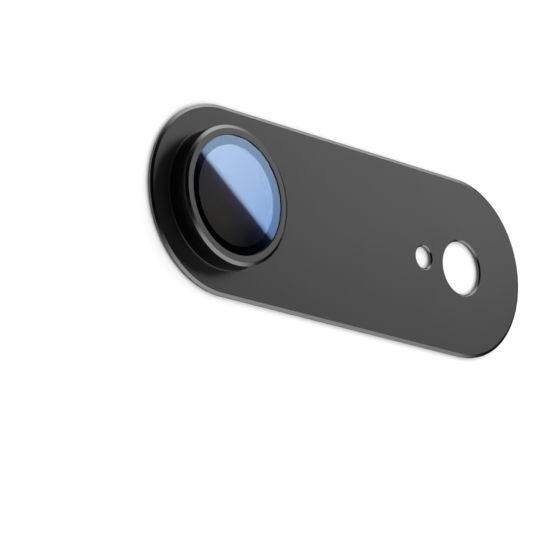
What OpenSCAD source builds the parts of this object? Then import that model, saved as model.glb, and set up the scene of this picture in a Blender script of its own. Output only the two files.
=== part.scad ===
// Stick-on protector for a phone's camera plateau: a thin anodised plate with a raised
// ring that carries a glass cover over the lens, and two through holes beside it.
// +Z is the outward face normal, +X runs from the lens ring to the flash hole, and the
// origin is the middle of the adhesive face, on the surface that the part is stuck to.

/* [Plate] */
// Overall length of the plate
plate_l = 68.5; // [62:0.1:74]
// Overall width of the plate, which is also the diameter of its round ends
plate_w = 24.4; // [23:0.1:28]
// Thickness of the plate
plate_t = 0.5; // [0.5:0.05:1]
// Width of the cut facet round the plate's top edge
edge_w = 0.4; // [0.1:0.05:0.6]
// Depth of the cut facet round the plate's top edge
edge_h = 0.18; // [0.05:0.01:0.3]

/* [Lens ring] */
// Distance from the plate's centre to the lens axis
lens_x = 22.3; // [20:0.1:24]
// Outer diameter of the lens ring
ring_d = 17.74; // [17.4:0.02:19]
// Height of the ring above the plate's face
ring_h = 2.9; // [2.2:0.1:4]
// Width of the cut facet round the ring's top, in from the wall
ring_edge_w = 0.45; // [0.2:0.05:0.6]
// Depth of the cut facet round the ring's top
ring_edge_h = 0.22; // [0.1:0.02:0.8]
// Diameter of the cavity that fits over the phone's own lens ring
cavity_d = 16.6; // [16:0.1:16.8]
// Width of the ring's foot flange, out from the wall
flange_w = 0.6; // [0.4:0.1:1]
// Thickness of the ring's foot flange
flange_t = 0.2; // [0.15:0.01:0.22]

/* [Lens glass] */
// Diameter of the glass disc
glass_d = 15.14; // [14.6:0.02:15.2]
// Thickness of the glass disc
glass_t = 0.4; // [0.3:0.05:0.5]
// How far the glass lies below the ring's top
glass_recess = 0.12; // [0.05:0.01:0.3]
// Diameter of the clear window inside the printed border
window_d = 12.8; // [11:0.1:13]
// Diameter of the opening inside the ledge under the glass
ledge_d = 13.3; // [13.1:0.1:13.6]
// Thickness of the ledge under the glass
ledge_t = 0.4; // [0.3:0.05:0.6]

/* [Holes] */
// Distance from the plate's centre to the microphone hole
mic_x = 15; // [13:0.1:16]
// Diameter of the microphone hole
mic_d = 2.9; // [1.5:0.1:3.2]
// Distance from the plate's centre to the flash hole
flash_x = 22.5; // [21:0.1:24]
// Diameter of the flash hole
flash_d = 7.2; // [5:0.1:8]
// Width and depth of the cut facet round both holes
hole_edge = 0.2; // [0.05:0.05:0.3]

/* [Adhesives] */
// Thickness of the adhesive sheet on the back
sheet_t = 0.15; // [0.1:0.01:0.3]
// How far the adhesive sheet stays inside the plate's outline and its holes
sheet_inset = 0.5; // [0.2:0.1:1]
// Thickness of the printed border under the glass
print_t = 0.03; // [0.02:0.01:0.05]
// Thickness of the adhesive ring under the glass
seat_bond_t = 0.06; // [0.05:0.01:0.1]
// Thickness of the adhesive ring over the foot flange
foot_bond_t = 0.05; // [0.05:0.01:0.08]

/* [Hidden] */
$fn = 180;

// How far a cutting shape runs past the face that it opens
over = 0.4;
// Gap between the ring's wall and the hole that it stands in
ring_gap = 0.05;
// Facet round the plate's lens hole
lens_hole_edge = 0.06;
// Gap from the print's rim to the glass's rim, and from the adhesive's rim to the print's
print_inset = 0.05;

plate_z = sheet_t;
face_z = plate_z + plate_t;
ring_r = ring_d / 2;
ring_top = face_z + ring_h;
lens_hole_r = ring_r + ring_gap;
flange_r = ring_r + flange_w;
pocket_r = glass_d / 2 + ring_gap;
glass_z = ring_top - glass_recess - glass_t;
print_z = glass_z - print_t;
seat_z = print_z - seat_bond_t;
recess_r = flange_r + ring_gap;
recess_top = plate_z + flange_t + foot_bond_t;

// Round-ended prism along X, standing on z = 0
module slot_prism(l, w, h) {
    cylinder_x = (l - w) / 2;
    for (side = [-1, 1]) translate([side * cylinder_x, 0, 0]) cylinder(h = h, d = w);
    translate([-cylinder_x, -w / 2, 0]) cube([2 * cylinder_x, w, h]);
}

// Round-ended prism along X whose side slopes in by w_in over its height
module slot_facet(l, w, w_in, h) {
    half = (l - w) / 2;
    for (side = [-1, 1]) translate([side * half, 0, 0])
        cylinder(h = h, d1 = w, d2 = w - 2 * w_in);
    rotate([90, 0, 90]) translate([0, 0, -half]) linear_extrude(2 * half)
        polygon([[-w / 2, 0], [w / 2, 0], [w / 2 - w_in, h], [w_in - w / 2, h]]);
}

// Through cut of radius r with a facet at the plate's face
module faced_hole(x, r, edge) {
    translate([x, 0, plate_z - over]) cylinder(h = plate_t + 2 * over, r = r);
    translate([x, 0, face_z - edge]) cylinder(h = edge + over, r1 = r, r2 = r + edge + over);
}

// Flat ring on the lens axis
module lens_washer(z, h, r_in, r_out) {
    translate([-lens_x, 0, z]) difference() {
        cylinder(h = h, r = r_out);
        translate([0, 0, -over]) cylinder(h = h + 2 * over, r = r_in);
    }
}

module face_plate() {
    color("#55565a") difference() {
        union() {
            translate([0, 0, plate_z]) slot_prism(plate_l, plate_w, plate_t - edge_h);
            translate([0, 0, face_z - edge_h]) slot_facet(plate_l, plate_w, edge_w, edge_h);
        }
        faced_hole(-lens_x, lens_hole_r, lens_hole_edge);
        faced_hole(mic_x, mic_d / 2, hole_edge);
        faced_hole(flash_x, flash_d / 2, hole_edge);
        translate([-lens_x, 0, plate_z - over]) cylinder(h = recess_top - plate_z + over, r = recess_r);
    }
}

// Turned ring: foot flange, wall, top facet, glass pocket and the ledge under it
module lens_ring() {
    cavity_r = cavity_d / 2;
    ledge_r = ledge_d / 2;
    color("#1b1b1d") translate([-lens_x, 0, 0]) rotate_extrude() polygon([
        [cavity_r, plate_z],
        [flange_r, plate_z],
        [flange_r, plate_z + flange_t],
        [ring_r, plate_z + flange_t],
        [ring_r, ring_top - ring_edge_h],
        [ring_r - ring_edge_w, ring_top],
        [pocket_r, ring_top],
        [pocket_r, seat_z],
        [ledge_r, seat_z],
        [ledge_r, seat_z - ledge_t],
        [cavity_r, seat_z - ledge_t],
    ]);
}

module lens_glass() {
    color("#9db8e8", 0.5) translate([-lens_x, 0, glass_z]) cylinder(h = glass_t, d = glass_d);
}

module border_print() {
    color("#050506") lens_washer(print_z, print_t, window_d / 2, glass_d / 2 - print_inset);
}

module seat_adhesive() {
    color("#303030") lens_washer(seat_z, seat_bond_t, ledge_d / 2 + print_inset, glass_d / 2 - 2 * print_inset);
}

module foot_adhesive() {
    color("#303030") lens_washer(plate_z + flange_t, foot_bond_t, lens_hole_r, flange_r);
}

module back_adhesive() {
    color("#3a3a3c") difference() {
        slot_prism(plate_l - 2 * sheet_inset, plate_w - 2 * sheet_inset, sheet_t);
        for (hole = [[-lens_x, cavity_d], [mic_x, mic_d], [flash_x, flash_d]])
            translate([hole[0], 0, -over]) cylinder(h = sheet_t + 2 * over, d = hole[1] + 2 * sheet_inset);
    }
}

face_plate();
lens_ring();
lens_glass();
border_print();
seat_adhesive();
foot_adhesive();
back_adhesive();
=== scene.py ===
# %% [markdown]
# # A stick-on lens protector, finished around its CAD frame
#
# The object is a thin round-ended metal plate that sticks onto a phone's camera plateau. A turned
# ring stands on it and carries a small glass disc over the lens, and two holes let the flash and
# the microphone through. The CAD model already has every size. This script makes each piece
# again with the tiny rounded edges that real metal and glass have, because those edges are what
# catch the light, and gives each finish its grain.

import math

import bmesh
import bpy
from mathutils import Matrix, Vector


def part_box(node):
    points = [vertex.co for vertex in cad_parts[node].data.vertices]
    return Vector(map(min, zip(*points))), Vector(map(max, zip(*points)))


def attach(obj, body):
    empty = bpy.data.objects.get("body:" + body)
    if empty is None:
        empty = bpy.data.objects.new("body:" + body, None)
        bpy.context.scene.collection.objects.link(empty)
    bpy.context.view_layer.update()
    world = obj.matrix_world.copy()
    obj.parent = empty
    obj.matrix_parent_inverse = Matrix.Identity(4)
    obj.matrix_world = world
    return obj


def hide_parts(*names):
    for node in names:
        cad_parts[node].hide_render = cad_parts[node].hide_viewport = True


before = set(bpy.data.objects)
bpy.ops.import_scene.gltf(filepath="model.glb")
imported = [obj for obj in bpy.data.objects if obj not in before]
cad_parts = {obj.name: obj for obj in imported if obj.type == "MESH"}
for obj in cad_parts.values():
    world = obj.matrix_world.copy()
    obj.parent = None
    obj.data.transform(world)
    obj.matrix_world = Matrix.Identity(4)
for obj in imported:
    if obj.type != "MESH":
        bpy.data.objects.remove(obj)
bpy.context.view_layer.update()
print("nodes:", sorted(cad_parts))

# %% [markdown]
# ## Sizes, read from the frame
#
# Everything is made in millimetres, where a corner radius of 0.03 is a comfortable number, and
# scaled to metres at the end. The places come from the boxes of the CAD nodes, so that the looks
# follow the design if it changes. A box can't tell the width of a facet, so those few sizes are
# stated here, as the part's drawing states them.

# %% Measure the nodes
MM = 0.001


def box_mm(node):
    low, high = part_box(node)
    return low / MM, high / MM


plate_low, plate_high = box_mm("face_plate")
ring_low, ring_high = box_mm("lens_ring")
glass_low, glass_high = box_mm("lens_glass")
print_low, print_high = box_mm("border_print")
seat_low = box_mm("seat_adhesive")[0]
foot_low, foot_high = box_mm("foot_adhesive")
sheet_high = box_mm("back_adhesive")[1]

end_r = plate_high.y
end_x = plate_high.x - end_r
plate_z = plate_low.z
face_z = plate_high.z
lens_x = (ring_low.x + ring_high.x) / 2
ring_top = ring_high.z
flange_r = ring_high.y
ledge_z = seat_low.z
glass_r = glass_high.y
print("plate's end radius", round(end_r, 2), "lens axis at x", round(lens_x, 2))

# %% State the sizes that a box can't tell
EDGE_W, EDGE_H = 0.4, 0.18
RING_R = 8.87
RING_EDGE_W, RING_EDGE_H = 0.45, 0.22
FLANGE_T = 0.2
CAVITY_R = 8.3
LEDGE_R, LEDGE_T = 6.65, 0.4
POCKET_R = glass_r + 0.05
WINDOW_R = 6.4
LENS_HOLE_R, LENS_HOLE_EDGE = 8.92, 0.06
RECESS_R = flange_r + 0.05
MIC_X, MIC_R = 15.0, 1.45
FLASH_X, FLASH_R = 22.5, 3.6
HOLE_EDGE = 0.2
print("ring stands", round(ring_top - face_z, 2), "mm above the plate")

# %% [markdown]
# ## The camera
#
# A small product like this is best seen from well away through a long lens, because its round
# ends then keep their shape. The camera looks down over the lens end, and is rolled about its own
# line of sight, so that the plate's long sides run down to the right across the picture.

# %% Place the camera
LENS_MM = 213.6
CAMERA_DISTANCE = 0.3928
CAMERA_AZIMUTH, CAMERA_ELEVATION, CAMERA_ROLL = -68.97, 42.67, 75.354
CAMERA_AIM = Vector((-0.01443, -0.00699, 0.00065))


def direction(azimuth, elevation):
    """The way from the object to something seen at these angles. Azimuth 0 is -Y, and 90 is +X."""
    a, e = math.radians(azimuth), math.radians(elevation)
    return Vector((math.sin(a) * math.cos(e), -math.cos(a) * math.cos(e), math.sin(e)))


def frame_of(back, up):
    """The turn that points an object's own Z along back, with its own Y as near up as it can be."""
    right = up.cross(back).normalized()
    return Matrix((right, back.cross(right).normalized(), back)).transposed().to_4x4()


camera_data = bpy.data.cameras.new("camera")
camera_data.lens = LENS_MM
camera_data.clip_start = 0.01
camera = bpy.data.objects.new("camera", camera_data)
bpy.context.scene.collection.objects.link(camera)
camera_back = direction(CAMERA_AZIMUTH, CAMERA_ELEVATION)
unrolled_up = direction(CAMERA_AZIMUTH, CAMERA_ELEVATION + 90)
unrolled_right = direction(CAMERA_AZIMUTH + 90, 0)
roll = math.radians(CAMERA_ROLL)
camera_up = math.cos(roll) * unrolled_up - math.sin(roll) * unrolled_right
camera_place = Matrix.Translation(CAMERA_AIM + CAMERA_DISTANCE * camera_back)
camera.matrix_world = camera_place @ frame_of(camera_back, camera_up)
bpy.context.scene.camera = camera
bpy.context.scene.view_settings.view_transform = "Standard"
print("camera at", [round(c, 3) for c in camera.matrix_world.translation])

# %% [markdown]
# ## Making metal with operators
#
# Every edge on the real part is broken by tumbling and anodising: under a lens it is a tiny
# radius, never a knife edge. So each section starts as a few corner points joined by edges, and a
# vertex bevel rounds those corners before anything is swept. Spinning the section makes what a
# lathe makes. For the plate, the same section turns half round at one end, runs straight along
# the side, and turns again, as a milling cutter would go. Rounding the finished mesh would work
# too, but a section has only a handful of corners, and every one of them is meant to be round.


# %% Draw a section and round its corners
def edges_of(verts):
    """Every edge at these vertices, once each, in an order that is the same in every run."""
    return list(dict.fromkeys(e for v in verts for e in v.link_edges))


def section(bm, points, centre, corner, closed):
    """Edges through (radius, height) points, standing on the -Y side of centre."""
    verts = [bm.verts.new((centre[0], centre[1] - r, z)) for r, z in points]
    pairs = list(zip(verts, verts[1:]))
    if closed:
        pairs.append((verts[-1], verts[0]))
    for pair in pairs:
        bm.edges.new(pair)
    rounded = bmesh.ops.bevel(
        bm,
        geom=verts if closed else verts[1:-1],
        offset=corner,
        offset_type="OFFSET",
        affect="VERTICES",
        segments=3,
        profile=0.5,
        material=-1,
        clamp_overlap=True,
    )
    verts = list(dict.fromkeys(v for v in verts + rounded["verts"] if v.is_valid))
    return verts + edges_of(verts)


def turn(bm, geom, centre, angle, steps, merge=False):
    """Spins a section about an upright axis and returns its last copy."""
    spun = bmesh.ops.spin(
        bm,
        geom=geom,
        cent=(centre[0], centre[1], 0),
        axis=(0, 0, 1),
        angle=angle,
        steps=steps,
        use_merge=merge,
        use_duplicate=False,
    )
    return spun["geom_last"]


def run_straight(bm, geom, shift):
    """Extrudes a section's edges along X and returns the new end."""
    edges = [g for g in geom if isinstance(g, bmesh.types.BMEdge)]
    grown = bmesh.ops.extrude_edge_only(bm, edges=edges)["geom"]
    verts = [g for g in grown if isinstance(g, bmesh.types.BMVert)]
    bmesh.ops.translate(bm, verts=verts, vec=(shift, 0, 0))
    return verts + [e for e in edges_of(verts) if set(e.verts) <= set(verts)]


print("sections can be drawn, turned and run straight")



# %% Sweep a section round a bore or an outline
ARC_STEPS = 96
SAME_PLACE = 1e-4


def bore(bm, points, x, corner, closed=False):
    """Spins a section all the way round an upright axis at x."""
    geom = section(bm, points, (x, 0), corner, closed)
    turn(bm, geom, (x, 0), 2 * math.pi, 2 * ARC_STEPS, merge=True)


def outline(bm, points, half, corner):
    """Runs a section round two half circles, whose centres lie at half and -half along X."""
    geom = section(bm, points, (half, 0), corner, closed=False)
    geom = turn(bm, geom, (half, 0), math.pi, ARC_STEPS)
    geom = run_straight(bm, geom, -2 * half)
    geom = turn(bm, geom, (-half, 0), math.pi, ARC_STEPS)
    run_straight(bm, geom, 2 * half)
    bmesh.ops.remove_doubles(bm, verts=bm.verts, dist=SAME_PLACE)


def fill_level(bm, z):
    """Closes the flat face at one height, with its holes, between the open edges there."""
    level = {v for v in bm.verts if abs(v.co.z - z) < SAME_PLACE}
    rims = [e for e in bm.edges if e.is_boundary and set(e.verts) <= level]
    bmesh.ops.triangle_fill(bm, use_beauty=True, use_dissolve=False, edges=rims)


print("a full turn has", 2 * ARC_STEPS, "steps")

# %% [markdown]
# ## From mesh to piece
#
# A flat face that shares its corner normals with a tiny radius would shade like a pillow. So each
# corner's normal is weighed by the area of the faces round it. That keeps the flats flat and lets
# the radius alone carry the turn of the light. The piece then stands for its CAD node, which stays
# hidden. The print tells how many edges are open, which has to be none on a solid piece.


# %% Finish a mesh
def weigh_normals(mesh):
    """Smooth shading in which the large faces keep their own direction."""
    sums = [Vector() for _ in mesh.vertices]
    for face in mesh.polygons:
        for v in face.vertices:
            sums[v] += face.normal * face.area
    mesh.shade_smooth()
    mesh.normals_split_custom_set_from_vertices([s.normalized() for s in sums])


def make_piece(bm, name, node, materials, choose=None):
    """Turns the millimetre mesh into a piece in metres, which rides in place of its CAD node."""
    bmesh.ops.remove_doubles(bm, verts=bm.verts, dist=SAME_PLACE)
    bmesh.ops.recalc_face_normals(bm, faces=bm.faces)
    bm.normal_update()
    if choose:
        for face in bm.faces:
            face.material_index = choose(face)
    bmesh.ops.scale(bm, verts=bm.verts, vec=(MM, MM, MM))
    open_edges = sum(not e.is_manifold for e in bm.edges)
    mesh = bpy.data.meshes.new(name)
    bm.to_mesh(mesh)
    bm.free()
    weigh_normals(mesh)
    for material in materials:
        mesh.materials.append(material)
    piece = bpy.data.objects.new(name, mesh)
    bpy.context.scene.collection.objects.link(piece)
    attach(piece, "root")
    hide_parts(node)
    print(name, len(mesh.polygons), "faces,", open_edges, "open edges")


print("meshes can be finished")

# %% [markdown]
# ## Finishes
#
# Every finish is made from noise that is turned into colour, gloss and relief. All patterns read
# Object coordinates, which are metres here, so a grain of 0.05 mm is a noise scale of about 20000.
# Each finish states the scales of its patterns and the depth of its relief in metres first.


# %% Start a material and its patterns
def new_material(name):
    """A material with its node tree and its shader."""
    material = bpy.data.materials.new(name)
    material.use_nodes = True
    tree = material.node_tree
    return material, tree, tree.nodes["Principled BSDF"]


def object_coords(tree, scale=(1, 1, 1)):
    """Object coordinates in metres, stretched by scale."""
    coords = tree.nodes.new("ShaderNodeTexCoord")
    mapping = tree.nodes.new("ShaderNodeMapping")
    mapping.inputs["Scale"].default_value = scale
    tree.links.new(coords.outputs["Object"], mapping.inputs["Vector"])
    return mapping.outputs["Vector"]


def noise(tree, vector, scale, detail=2):
    """Soft random spots, about one over scale in size."""
    node = tree.nodes.new("ShaderNodeTexNoise")
    node.inputs["Scale"].default_value = scale
    node.inputs["Detail"].default_value = detail
    tree.links.new(vector, node.inputs["Vector"])
    return node.outputs["Fac"]


def spread(tree, value, low, high):
    """A noise's useful middle, from 0.3 to 0.7, spread over low to high."""
    node = tree.nodes.new("ShaderNodeMapRange")
    node.inputs["From Min"].default_value = 0.3
    node.inputs["From Max"].default_value = 0.7
    node.inputs["To Min"].default_value = low
    node.inputs["To Max"].default_value = high
    tree.links.new(value, node.inputs["Value"])
    return node.outputs["Result"]


print("patterns ready")


# %% Turn a pattern into colour, gloss and relief
def tint(tree, value, dark, light):
    """A colour that goes from dark to light with a value."""
    node = tree.nodes.new("ShaderNodeMix")
    node.data_type = "RGBA"
    node.inputs["A"].default_value = (*dark, 1)
    node.inputs["B"].default_value = (*light, 1)
    tree.links.new(value, node.inputs["Factor"])
    return node.outputs["Result"]


def bump(tree, shader, height, depth):
    """Relief of a given depth in metres on the shader's normal."""
    node = tree.nodes.new("ShaderNodeBump")
    node.inputs["Distance"].default_value = depth
    tree.links.new(height, node.inputs["Height"])
    tree.links.new(node.outputs["Normal"], shader.inputs["Normal"])


def colour_and_gloss(tree, shader, colour, roughness):
    """Joins a colour and a roughness to the shader."""
    tree.links.new(colour, shader.inputs["Base Color"])
    tree.links.new(roughness, shader.inputs["Roughness"])


print("colour, gloss and relief ready")

# %% [markdown]
# ## Satin
#
# The plate is blasted with fine beads and anodised dark grey, which gives an even satin. The pits
# are too small to see one by one, and only spread the light. Relief alone could do that, but so
# fine a relief turns to glitter from afar. So the shader's roughness does most of it, and a breath
# of grain is left for a close look. Anodising is a thin glassy oxide on the metal, which keeps a
# little grey in the shade, so the shader isn't wholly metallic.

# %% Blasted and anodised face
SATIN_DRIFT, SATIN_GRAIN, SATIN_DEPTH = 90, 22000, 1.2e-6


def anodised_satin(name, dark, light, rough):
    """Fine blasted grain, with colour and gloss that drift a little over the plate."""
    material, tree, shader = new_material(name)
    coords = object_coords(tree)
    drift = noise(tree, coords, SATIN_DRIFT, 3)
    colour = tint(tree, spread(tree, drift, 0, 1), dark, light)
    shader.inputs["Metallic"].default_value = 0.9
    shader.inputs["Specular Tint"].default_value = (0.4, 0.4, 0.4, 1)
    colour_and_gloss(tree, shader, colour, spread(tree, drift, rough - 0.02, rough + 0.02))
    bump(tree, shader, noise(tree, coords, SATIN_GRAIN, 2), SATIN_DEPTH)
    return material


face_satin = anodised_satin(
    "anodised_satin", dark=(0.045, 0.0441, 0.0434), light=(0.0491, 0.0481, 0.0473), rough=0.33
)
# The land has the plate's satin, made a little lighter: painted light for the brighter light that
# falls on the land.
land_satin_painted_light = anodised_satin(
    "ring_land_satin_painted_light", dark=(0.057, 0.0565, 0.056), light=(0.063, 0.062, 0.061), rough=0.33
)
under_side = anodised_satin(
    "under_side", dark=(0.06, 0.06, 0.062), light=(0.075, 0.075, 0.077), rough=0.5
)
print("made", face_satin.name, land_satin_painted_light.name, under_side.name)

# %% [markdown]
# ## Cut facets
#
# The facets are cut last, with a diamond tool that goes through the colour, so they are lighter
# and much smoother than the face. The tool leaves lines along the edge. Each line lies at one
# height, so a noise that is squeezed almost flat along X and Y draws them on every side at once.

# %% Diamond-cut facet
CUT_LINES, CUT_DRIFT, CUT_DEPTH = 40000, 400, 4e-7


def cut_facet(name, colour, rough):
    """Bright metal with the tool's faint lines, which run along the edge at every height."""
    material, tree, shader = new_material(name)
    lines = noise(tree, object_coords(tree, (0.02, 0.02, 1)), CUT_LINES, 1)
    drift = noise(tree, object_coords(tree), CUT_DRIFT)
    lighter = [c * 1.12 for c in colour]
    shader.inputs["Metallic"].default_value = 1.0
    shader.inputs["Specular Tint"].default_value = (0.25, 0.25, 0.25, 1)
    gloss = spread(tree, lines, rough - 0.05, rough + 0.05)
    colour_and_gloss(tree, shader, tint(tree, drift, colour, lighter), gloss)
    bump(tree, shader, lines, CUT_DEPTH)
    return material


edge_metal = cut_facet("diamond_cut_edge", (0.20, 0.20, 0.202), 0.2)
print("made", edge_metal.name)

# %% [markdown]
# ## Walls
#
# The ring is turned from the same grey metal as its land, and its near-black colour is painted
# shade: it stands for the dark surroundings that the wall mirrors. The plate's walls are milled and
# kept a lighter dark grey. Both keep the faint rings of their tool, which are made like the facets'
# lines, only coarser.

# %% Dark walls and the ring's painted shade
TOOL_RINGS, TOOL_DRIFT, TOOL_DEPTH = 18000, 700, 5e-7


def turned_metal(name, colour, rough):
    """Dark metal with the faint rings of the turning or milling tool: anodised dark grey on the
    plate's walls, painted shade on the ring.
    """
    material, tree, shader = new_material(name)
    rings = noise(tree, object_coords(tree, (0.01, 0.01, 1)), TOOL_RINGS)
    drift = noise(tree, object_coords(tree), TOOL_DRIFT, 3)
    darker = [c * 0.75 for c in colour]
    shader.inputs["Metallic"].default_value = 0.6
    gloss = spread(tree, rings, rough - 0.04, rough + 0.06)
    colour_and_gloss(tree, shader, tint(tree, drift, darker, colour), gloss)
    bump(tree, shader, rings, TOOL_DEPTH)
    return material


# The ring's near black is painted shade for the dark surroundings that its grey wall mirrors.
ring_painted_shade = turned_metal("turned_painted_shade", (0.003, 0.003, 0.0033), 0.22)
wall_dark = turned_metal("milled_wall", (0.10, 0.10, 0.102), 0.34)
print("made", ring_painted_shade.name, wall_dark.name)

# %% [markdown]
# ## Glass
#
# The disc is tempered glass with a thin anti-reflective coating. The coating takes most of the
# shine away and leaves its rest blue, which shows wherever the glass mirrors a light. The upper
# surface mirrors in that deep blue. The lower surface mirrors a second time in a paler blue, but
# only inside the clear window, because the ink outside it touches the glass and swallows the
# light. So the disc has two materials, one for its upper side and one for its lower side. The
# lower one is also a little dark, for the dim lens that lies under such a glass in use. The
# coating is never quite even, so its tint drifts a little over the disc.

# %% Coated glass
WIPE_MARKS, COATING_DRIFT = 260, 160


def coated_glass(name, body, shine):
    """Smooth clear glass whose mirror image is tinted, with the faintest wipe marks."""
    material, tree, shader = new_material(name)
    coords = object_coords(tree)
    shader.inputs["Base Color"].default_value = (*body, 1)
    shader.inputs["Transmission Weight"].default_value = 1.0
    shader.inputs["IOR"].default_value = 1.77
    shader.inputs["Specular IOR Level"].default_value = 1.0
    marks = noise(tree, coords, WIPE_MARKS, 4)
    tree.links.new(spread(tree, marks, 0, 0.006), shader.inputs["Roughness"])
    drift = spread(tree, noise(tree, coords, COATING_DRIFT, 3), 0, 1)
    red, green, blue = shine
    bluer = (red * 0.94, green * 0.98, blue)
    paler = (red * 1.08, green * 1.03, blue)
    tree.links.new(tint(tree, drift, bluer, paler), shader.inputs["Specular Tint"])
    return material


glass_upper = coated_glass("coated_glass_upper", (0.98, 0.99, 1.0), (0.30, 0.56, 1.0))
glass_lower = coated_glass("coated_glass_lower", (0.18, 0.178, 0.175), (0.31, 0.54, 1.0))
print("made", glass_upper.name, glass_lower.name)

# %% [markdown]
# ## Ink, bonds and film
#
# These three are plain layers that differ only in how dark, smooth and mottled they are, so one
# helper makes them all. The ink has no shine of its own, because it lies against the glass.

# %% Ink, bonds and adhesive film
def soft_layer(name, dark, light, rough, scale, depth, specular=0.5):
    """A plain layer with a mottled surface: ink, cured bond or adhesive film."""
    material, tree, shader = new_material(name)
    shader.inputs["Specular IOR Level"].default_value = specular
    mottle = noise(tree, object_coords(tree), scale, 4)
    colour = tint(tree, spread(tree, mottle, 0, 1), dark, light)
    colour_and_gloss(tree, shader, colour, spread(tree, mottle, rough - 0.06, rough + 0.06))
    bump(tree, shader, mottle, depth)
    return material


ink = soft_layer(
    "printed_ink",
    dark=(0.001, 0.001, 0.0012),
    light=(0.002, 0.002, 0.0024),
    rough=0.3,
    scale=3000,
    depth=2e-7,
    specular=0,
)
bond = soft_layer(
    "cured_bond",
    dark=(0.004, 0.004, 0.004),
    light=(0.008, 0.008, 0.008),
    rough=0.24,
    scale=900,
    depth=1e-6,
    specular=0.35,
)
film = soft_layer(
    "sheet_film",
    dark=(0.022, 0.022, 0.024),
    light=(0.035, 0.035, 0.038),
    rough=0.62,
    scale=1400,
    depth=3e-6,
)
print("made", ink.name, bond.name, film.name)

# %% [markdown]
# ## The plate
#
# The rim's section goes from the flat face over the cut facet, down the wall and round to the
# under side. Each hole has a section of its own. The lens hole has a tiny facet at the face and a
# step under it, where the ring's foot is let in. Every section goes on along the flats for a short
# strip past its last corner, so that the corner's radius ends on a flat. The flats are filled
# last, between the open edges that all those strips leave at the two levels. Holes cut out of a
# solid would look alike, but their edges would then need rounding across long thin triangles.

# %% State the plate's corners
CORNER = 0.03
STRIP = 0.08
PLATE_FLAT, PLATE_SLANT, PLATE_UNDER = 0.995, 0.35, -0.9


def hole_section(r, edge):
    """From the face over a small facet and down the wall to the under side."""
    return [
        (r + edge + STRIP, face_z),
        (r + edge, face_z),
        (r, face_z - edge),
        (r, plate_z),
        (r + STRIP, plate_z),
    ]


def choose_plate(face):
    """Satin on the flat face, bright on the facets, dark on the walls, plain below."""
    if face.normal.z > PLATE_FLAT:
        return 0
    if face.normal.z > PLATE_SLANT:
        return 1
    if face.normal.z < PLATE_UNDER:
        return 3
    return 2


print("the plate's corners have a radius of", CORNER, "mm")

# %% Mill the plate
bm = bmesh.new()
rim = [
    (end_r - EDGE_W - STRIP, face_z),
    (end_r - EDGE_W, face_z),
    (end_r, face_z - EDGE_H),
    (end_r, plate_z),
    (end_r - STRIP, plate_z),
]
outline(bm, rim, end_x, CORNER)
lens_hole = hole_section(LENS_HOLE_R, LENS_HOLE_EDGE)[:3] + [
    (LENS_HOLE_R, foot_high.z),
    (RECESS_R, foot_high.z),
    (RECESS_R, plate_z),
    (RECESS_R + STRIP, plate_z),
]
bore(bm, lens_hole, lens_x, CORNER / 2)
bore(bm, hole_section(MIC_R, HOLE_EDGE), MIC_X, CORNER)
bore(bm, hole_section(FLASH_R, HOLE_EDGE), FLASH_X, CORNER)
for level in (face_z, plate_z):
    fill_level(bm, level)
make_piece(
    bm,
    "plate",
    "face_plate",
    [face_satin, edge_metal, wall_dark, under_side],
    choose_plate,
)

# %% [markdown]
# ## The ring
#
# One turned section: foot, wall, cut facet, the narrow land that surrounds the glass, the pocket
# that holds the glass, and the ledge that the glass is bonded to. The land and the sliver of the
# pocket's wall above the glass are left satin, and only the facet is bright. Cylinders cut out of
# cylinders would give the same shape, but one section swept round has no seams to clean.

# %% Turn the ring
RING_FLAT, RING_SLANT = 0.97, 0.3
LAND_BAND = 0.1


def choose_ring(face):
    """Satin on the land, bright on the facet, and near black, which is painted shade, on the rest.
    """
    centre = face.calc_center_median()
    outside = math.hypot(centre.x - lens_x, centre.y) > POCKET_R + LAND_BAND
    if centre.z > ring_top - RING_EDGE_H and face.normal.z > RING_FLAT:
        return 1
    if centre.z > glass_high.z and not outside:
        return 1
    if centre.z > ring_top - RING_EDGE_H - CORNER and face.normal.z > RING_SLANT and outside:
        return 2
    return 0


bm = bmesh.new()
ring_section = [
    (CAVITY_R, plate_z),
    (flange_r, plate_z),
    (flange_r, plate_z + FLANGE_T),
    (RING_R, plate_z + FLANGE_T),
    (RING_R, ring_top - RING_EDGE_H),
    (RING_R - RING_EDGE_W, ring_top),
    (POCKET_R, ring_top),
    (POCKET_R, ledge_z),
    (LEDGE_R, ledge_z),
    (LEDGE_R, ledge_z - LEDGE_T),
    (CAVITY_R, ledge_z - LEDGE_T),
]
bore(bm, ring_section, lens_x, CORNER / 2, closed=True)
make_piece(
    bm, "ring", "lens_ring", [ring_painted_shade, land_satin_painted_light, edge_metal], choose_ring
)

# %% [markdown]
# ## Glass and its printed border
#
# The disc is cut, ground to a soft edge and polished. A disc with a soft edge needs only a circle,
# an extrusion and a bevel of its two rims. The ink is printed on the under side, so it touches
# the glass with no air between. It could be a dark band in the glass's material, but a real layer
# also stops the light that comes from the side. If the two solids only met face to face, a ray
# would see a thin air gap there and mirror twice, so the ink reaches a hundredth of a millimetre
# into the glass. It stops at the foot of the ground edge.

# %% Grind the glass
GLASS_SOFT_EDGE = 0.04


def choose_glass(face):
    """The lower side's glass on every face that points well down."""
    return 1 if face.normal.z < -0.5 else 0


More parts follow.
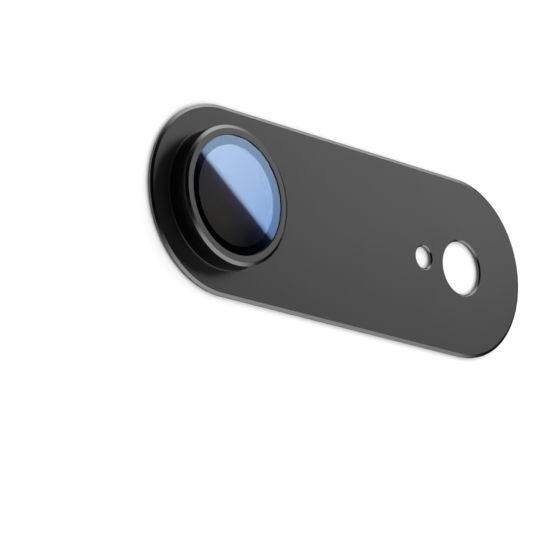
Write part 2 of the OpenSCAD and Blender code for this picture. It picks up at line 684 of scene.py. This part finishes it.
bm = bmesh.new()
bmesh.ops.create_circle(
    bm,
    cap_ends=True,
    radius=glass_r,
    segments=2 * ARC_STEPS,
    matrix=Matrix.Translation((lens_x, 0, glass_low.z)),
)
grown = bmesh.ops.extrude_face_region(bm, geom=list(bm.faces), use_keep_orig=True)["geom"]
bmesh.ops.translate(
    bm,
    verts=[g for g in grown if isinstance(g, bmesh.types.BMVert)],
    vec=(0, 0, glass_high.z - glass_low.z),
)
bmesh.ops.recalc_face_normals(bm, faces=bm.faces)
rims = [e for e in bm.edges if abs(e.verts[0].co.z - e.verts[1].co.z) < SAME_PLACE]
bmesh.ops.bevel(
    bm,
    geom=rims,
    offset=GLASS_SOFT_EDGE,
    affect="EDGES",
    segments=4,
    profile=0.5,
    material=-1,
)
make_piece(bm, "glass", "lens_glass", [glass_upper, glass_lower], choose_glass)

# %% Print the border
INK_BITE = 0.012
INK_CORNER = 0.003
ink_r = print_high.y - GLASS_SOFT_EDGE
ink_top = print_high.z + INK_BITE
bm = bmesh.new()
ink_section = [
    (WINDOW_R, print_low.z),
    (ink_r, print_low.z),
    (ink_r, ink_top),
    (WINDOW_R, ink_top),
]
bore(bm, ink_section, lens_x, INK_CORNER, closed=True)
make_piece(bm, "border", "border_print", [ink])

# %% [markdown]
# ## Adhesives
#
# The sheet on the back has the plate's outline, a little inside it, with a hole round each hole of
# the plate. The ring's foot is bonded into its recess, and a little of the bond is squeezed out
# round the wall. It is wiped to a small fillet, which catches a thin line of light. The bond under
# the glass is a flat ring out of sight, so its CAD solid stays as it is and only gets its finish.

# %% Cut the adhesive sheet
SHEET_INSET = 0.5
sheet_r = sheet_high.y
sheet_t = sheet_high.z


def sheet_wall(r, inward):
    """The sheet's cut edge at radius r, with a strip of its flats to one side."""
    return [(r + inward, sheet_t), (r, sheet_t), (r, 0), (r + inward, 0)]


bm = bmesh.new()
outline(bm, sheet_wall(sheet_r, -STRIP), sheet_high.x - sheet_r, CORNER)
for x, r in ((lens_x, CAVITY_R), (MIC_X, MIC_R), (FLASH_X, FLASH_R)):
    bore(bm, sheet_wall(r + SHEET_INSET, STRIP), x, CORNER)
for level in (sheet_t, 0):
    fill_level(bm, level)
make_piece(bm, "adhesive_sheet", "back_adhesive", [film])

# %% Squeeze out the foot's bond
FILLET_W, FILLET_H = 0.1, 0.08
BITE = 0.01
BOND_CORNER = 0.002
foot_r = foot_high.y
bm = bmesh.new()
bond_section = [
    (RING_R - BITE, foot_low.z),
    (foot_r, foot_low.z),
    (foot_r, foot_high.z),
    (LENS_HOLE_R, foot_high.z),
    (LENS_HOLE_R, face_z - LENS_HOLE_EDGE),
    (LENS_HOLE_R + FILLET_W, face_z - BITE),
    (LENS_HOLE_R + FILLET_W, face_z),
    (RING_R, face_z + FILLET_H),
    (RING_R - BITE, face_z + FILLET_H),
]
bore(bm, bond_section, lens_x, BOND_CORNER, closed=True)
make_piece(bm, "foot_bond", "foot_adhesive", [bond])

# %% Finish the bond under the glass
seat_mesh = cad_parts["seat_adhesive"].data
seat_mesh.materials.clear()
seat_mesh.materials.append(bond)
print("seat_adhesive gets", bond.name)

# %% [markdown]
# ## Floor and light
#
# The floor is plain and pale. The satin face needs a wide even light, and the glass needs one
# straight-edged soft box: a mirror shows only what lies in its mirror direction, so the box stands
# exactly there, with one edge across the middle of the glass. The cut facets are mirrors too.
# They need something bright to show on two sides, and darkness between, or they would look like
# painted lines. So the room's even light falls on the floor only, and metal and glass see just
# the boxes.
#
# The cloth of a real soft box is brightest near its lamp and dims towards its sides. The Geometry
# node's Parametric output tells where on the box's front a ray arrives, so a few nodes can fade
# each box at its ends, and no facet changes from bright to dark in one step.

# %% Lay the floor
FLOOR_SIZE = 4.0
FLOOR_DARK, FLOOR_LIGHT = (0.80, 0.80, 0.80), (0.83, 0.83, 0.83)
bm = bmesh.new()
bmesh.ops.create_grid(bm, x_segments=4, y_segments=4, size=FLOOR_SIZE / 2)
floor_mesh = bpy.data.meshes.new("floor")
bm.to_mesh(floor_mesh)
bm.free()
floor = bpy.data.objects.new("floor", floor_mesh)
bpy.context.scene.collection.objects.link(floor)
floor_material, floor_tree, floor_shader = new_material("pale_floor")
floor_drift = noise(floor_tree, object_coords(floor_tree), 12)
floor_colour = tint(floor_tree, floor_drift, FLOOR_DARK, FLOOR_LIGHT)
floor_tree.links.new(floor_colour, floor_shader.inputs["Base Color"])
floor_shader.inputs["Roughness"].default_value = 0.8
floor_shader.inputs["Specular IOR Level"].default_value = 0.2
floor_mesh.materials.append(floor_material)
print("floor", FLOOR_SIZE, "m wide")

# %% Find the mirror direction
lens_centre = Vector((lens_x, 0, glass_high.z)) * MM
to_camera = (camera.matrix_world.translation - lens_centre).normalized()
mirror_way = Vector((-to_camera.x, -to_camera.y, to_camera.z))
print("the glass mirrors what lies towards", [round(c, 3) for c in mirror_way])


# %% Helper for a soft box
def soft_box(name, centre, way_out, up, size, radiance):
    """A rectangular soft box that faces the object, whose front has the given brightness."""
    data = bpy.data.lights.new(name, "AREA")
    data.shape = "RECTANGLE"
    data.size, data.size_y = size
    data.energy = radiance * math.pi * size[0] * size[1]
    data.use_nodes = True
    lamp = bpy.data.objects.new(name, data)
    lamp.matrix_world = Matrix.Translation(centre) @ frame_of(way_out, up)
    lamp.visible_camera = False
    bpy.context.scene.collection.objects.link(lamp)
    print(name, "at", [round(c, 2) for c in centre])
    return lamp


# %% Helpers for the glow of its front
def across(tree, axis):
    """How far along a soft box's front a ray arrives, from 0 to 1."""
    where = tree.nodes.new("ShaderNodeNewGeometry").outputs["Parametric"]
    parts = tree.nodes.new("ShaderNodeSeparateXYZ")
    tree.links.new(where, parts.inputs[0])
    return parts.outputs[axis]


def fade(tree, value, start, end):
    """Smoothly from 0 at start to 1 at end."""
    node = tree.nodes.new("ShaderNodeMapRange")
    node.interpolation_type = "SMOOTHSTEP"
    tree.links.new(value, node.inputs["Value"])
    node.inputs["From Min"].default_value = start
    node.inputs["From Max"].default_value = end
    return node.outputs["Result"]


def times(tree, first, second):
    """Two values multiplied."""
    node = tree.nodes.new("ShaderNodeMath")
    node.operation = "MULTIPLY"
    tree.links.new(first, node.inputs[0])
    tree.links.new(second, node.inputs[1])
    return node.outputs[0]


def ramp(tree, value, stops):
    """A colour that runs through the given stops."""
    node = tree.nodes.new("ShaderNodeValToRGB")
    elements = node.color_ramp.elements
    while len(elements) < len(stops):
        elements.new(0.5)
    for element, (position, colour) in zip(elements, stops):
        element.position = position
        element.color = (*colour, 1)
    tree.links.new(value, node.inputs["Fac"])
    return node.outputs["Color"]


print("light helpers ready")

# %% Hang the box that the glass mirrors
BOX_EDGE_ANGLE = math.radians(-35.6)
BOX_DISTANCE, BOX_SIZE, BOX_BRIGHTNESS = 0.6, 0.24, 5.5
BOX_RIM = 0.05
edge_on_glass = Vector((math.cos(BOX_EDGE_ANGLE), math.sin(BOX_EDGE_ANGLE), 0))
box_edge = (edge_on_glass - edge_on_glass.dot(mirror_way) * mirror_way).normalized()
bright_side = mirror_way.cross(box_edge)
if bright_side.y < 0:
    bright_side.negate()
edge_centre = lens_centre + BOX_DISTANCE * mirror_way
mirror_box = soft_box(
    "mirror_box",
    edge_centre + (0.5 - BOX_RIM) * BOX_SIZE * bright_side,
    mirror_way,
    bright_side,
    (BOX_SIZE, BOX_SIZE),
    BOX_BRIGHTNESS,
)

# %% Shade the front of that box
RIM_DUSK, RIM_DAWN, RIM_FULL = BOX_RIM - 0.016, BOX_RIM - 0.003, BOX_RIM + 0.0025
PLAIN, WARM, COOL = (0.8, 0.8, 0.8), (1.0, 0.95, 0.88), (0.43, 0.59, 0.77)
box_tree = mirror_box.data.node_tree
rim_glow = ramp(
    box_tree,
    across(box_tree, "Y"),
    [
        (0, (0, 0, 0)),
        (RIM_DUSK, (0.006, 0.005, 0.009)),
        (RIM_DAWN, (0.045, 0.036, 0.058)),
        (RIM_FULL, (1, 1, 1)),
    ],
)
front_glow = ramp(
    box_tree,
    across(box_tree, "X"),
    [
        (0.36, PLAIN),
        (0.42, WARM),
        (0.5, (0.81, 0.81, 0.81)),
        (0.58, COOL),
        (0.64, PLAIN),
    ],
)
shade = box_tree.nodes.new("ShaderNodeMix")
shade.data_type = "RGBA"
shade.blend_type = "MULTIPLY"
shade.inputs["Factor"].default_value = 1
box_tree.links.new(rim_glow, shade.inputs["A"])
box_tree.links.new(front_glow, shade.inputs["B"])
box_tree.links.new(shade.outputs["Result"], box_tree.nodes["Emission"].inputs["Color"])
print("the mirrored box has a soft rim, and runs from warm to cool")


# %% Hang the wide boxes that the facets mirror
def wide_box(name, azimuth, elevation, distance, size, radiance, soft):
    """A soft box that stands upright round the object. It fades out over a part of its front at
    each end: the low azimuth, the high azimuth, the bottom and the top."""
    way = direction(azimuth, elevation)
    upright = Vector((0, 0, 1))
    lamp = soft_box(name, lens_centre + distance * way, way, upright, size, radiance)
    tree = lamp.data.node_tree
    x, y = across(tree, "X"), across(tree, "Y")
    low, high, bottom, top = soft
    ends = ((x, 0, low), (x, 1, 1 - high), (y, 0, bottom), (y, 1, 1 - top))
    sides = [fade(tree, value, end, full) for value, end, full in ends if end != full]
    glow = sides[0]
    for side in sides[1:]:
        glow = times(tree, glow, side)
    tree.links.new(glow, tree.nodes["Emission"].inputs["Strength"])


wide_box(
    "back_box",
    azimuth=158,
    elevation=22,
    distance=0.55,
    size=(0.85, 0.56),
    radiance=2.0,
    soft=(0.16, 0.5, 0.4, 0.4),
)
wide_box(
    "front_box",
    azimuth=27,
    elevation=42,
    distance=0.55,
    size=(1.1, 1.0),
    radiance=1.25,
    soft=(0.3, 0.28, 0.2, 0.3),
)
wide_box(
    "left_fill",
    azimuth=-90,
    elevation=20,
    distance=0.8,
    size=(1.2, 0.52),
    radiance=0.9,
    soft=(0.4, 0.3, 0, 0.5),
)
wide_box(
    "far_left_fill",
    azimuth=-142,
    elevation=20,
    distance=0.8,
    size=(1.2, 0.52),
    radiance=0.7,
    soft=(0.4, 0.4, 0, 0.5),
)

# %% Light the floor
world = bpy.data.worlds.new("studio")
bpy.context.scene.world = world
world.use_nodes = True
background = world.node_tree.nodes["Background"]
background.inputs["Color"].default_value = (1.0, 1.0, 1.0, 1)
background.inputs["Strength"].default_value = 0.8
world.cycles_visibility.glossy = False
world.cycles_visibility.transmission = False
print("world lights the floor, and metal and glass don't mirror it")
